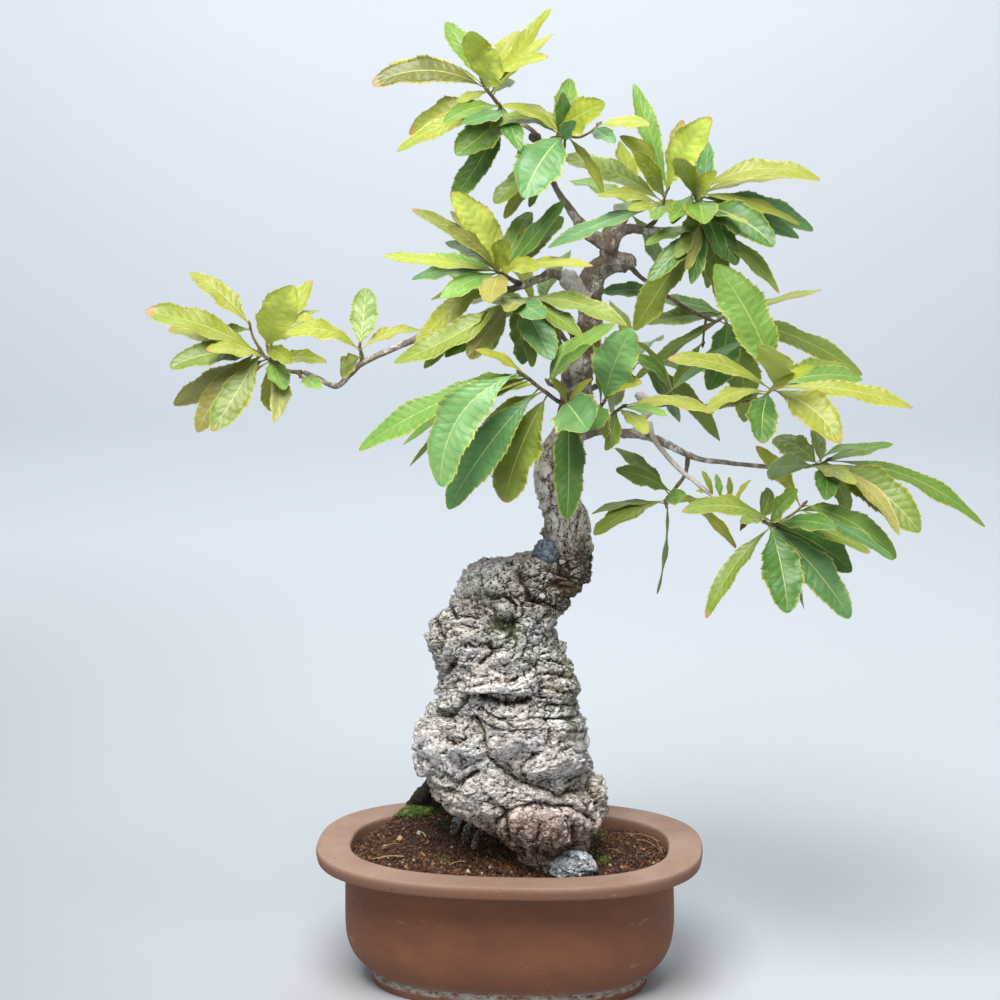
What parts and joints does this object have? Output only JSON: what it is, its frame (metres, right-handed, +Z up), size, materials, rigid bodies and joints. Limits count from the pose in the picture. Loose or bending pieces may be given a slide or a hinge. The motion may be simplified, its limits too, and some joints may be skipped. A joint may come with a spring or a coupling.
{
  "type": "chestnut-leaved oak bonsai in an oval clay pot",
  "caption": "Bonsai oak with a leaning corky trunk, bare angular branches and long toothed leaves, in a shallow oval brown clay pot of granular soil.",
  "frame": {"origin": "the middle of the pot's underside, on the flat pad that it stands on", "axes": "+Z up, +X to the right and -Y towards the viewer, as the tree is shown; the pot's long side lies 4.5 degrees off +X"},
  "size_m": [0.8185, 0.39, 0.9814],
  "materials": {
    "clay": "matte",
    "soil": "matte",
    "drain_mesh": "matte",
    "bark": "matte",
    "cut_paste": "matte",
    "leaf_young": "satin",
    "leaf_full": "satin",
    "leaf_shaded": "satin"
  },
  "bodies": {
    "root": {"pot": "clay", "soil": "soil", "drain_mesh_1": "drain_mesh", "drain_mesh_2": "drain_mesh", "trunk": "bark", "cut_paste": "cut_paste", "spray_far_left": "leaf_young", "spray_left_shoot": "leaf_young", "spray_top": "leaf_young", "spray_right_twig": "leaf_young", "spray_small_middle": "leaf_young", "spray_front_left": "leaf_young", "spray_centre": "leaf_young", "spray_upper_right": "leaf_full", "spray_right": "leaf_full", "spray_far_right": "leaf_full", "spray_small_right": "leaf_full", "spray_low_middle": "leaf_full", "spray_middle": "leaf_full", "spray_front_twig": "leaf_full", "spray_behind_right": "leaf_shaded", "spray_lower_right": "leaf_shaded", "spray_front_hanging": "leaf_shaded", "spray_lower_centre": "leaf_shaded", "spray_back_left": "leaf_shaded", "spray_back_right": "leaf_shaded", "spray_back_top": "leaf_shaded", "spray_top_right": "leaf_shaded"}
  },
  "joints": []
}
